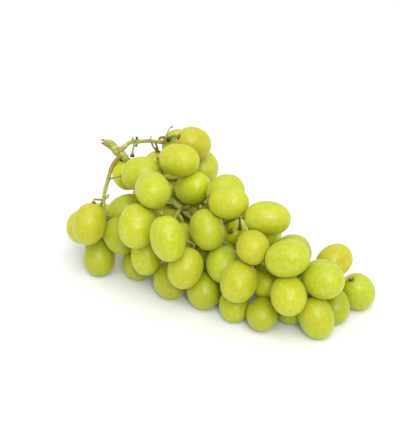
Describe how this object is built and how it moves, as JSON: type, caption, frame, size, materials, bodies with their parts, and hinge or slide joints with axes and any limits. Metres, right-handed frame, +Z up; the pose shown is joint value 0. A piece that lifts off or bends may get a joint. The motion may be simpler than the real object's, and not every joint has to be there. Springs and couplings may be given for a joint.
{
  "type": "bunch of grapes",
  "caption": "Bunch of oval white table grapes lying on its side, with its cut stalk, bare side branches and berry stalks.",
  "frame": {"origin": "on the surface the bunch lies on, under the middle of its bounding box", "axes": "+X along the bunch from the cut stalk to the tip, +Z up, -Y towards the fuller side"},
  "size_m": [0.1882, 0.0958, 0.0858],
  "materials": {
    "berry_skin": null,
    "stem_wood": "yellow-green shoots, orange-brown at the joints and dark brown at the ends"
  },
  "bodies": {
    "root": {"stem": "stem_wood", "berry_01": "berry_skin", "berry_02": "berry_skin", "berry_03": "berry_skin", "berry_04": "berry_skin", "berry_05": "berry_skin", "berry_06": "berry_skin", "berry_07": "berry_skin", "berry_08": "berry_skin", "berry_09": "berry_skin", "berry_10": "berry_skin", "berry_11": "berry_skin", "berry_12": "berry_skin", "berry_13": "berry_skin", "berry_14": "berry_skin", "berry_15": "berry_skin", "berry_16": "berry_skin", "berry_17": "berry_skin", "berry_18": "berry_skin", "berry_19": "berry_skin", "berry_20": "berry_skin", "berry_21": "berry_skin", "berry_22": "berry_skin", "berry_23": "berry_skin", "berry_24": "berry_skin", "berry_25": "berry_skin", "berry_26": "berry_skin", "berry_27": "berry_skin", "berry_28": "berry_skin", "berry_29": "berry_skin", "berry_30": "berry_skin", "berry_31": "berry_skin", "berry_32": "berry_skin", "berry_33": "berry_skin", "berry_34": "berry_skin", "berry_35": "berry_skin", "berry_36": "berry_skin", "berry_37": "berry_skin", "berry_38": "berry_skin", "berry_39": "berry_skin", "berry_40": "berry_skin", "berry_41": "berry_skin", "berry_42": "berry_skin", "berry_43": "berry_skin", "berry_44": "berry_skin", "berry_45": "berry_skin", "berry_46": "berry_skin", "berry_47": "berry_skin", "berry_48": "berry_skin", "berry_49": "berry_skin", "berry_50": "berry_skin", "berry_51": "berry_skin", "berry_52": "berry_skin", "berry_53": "berry_skin", "berry_54": "berry_skin", "berry_55": "berry_skin", "berry_56": "berry_skin", "berry_57": "berry_skin", "berry_58": "berry_skin", "berry_59": "berry_skin"}
  },
  "joints": []
}
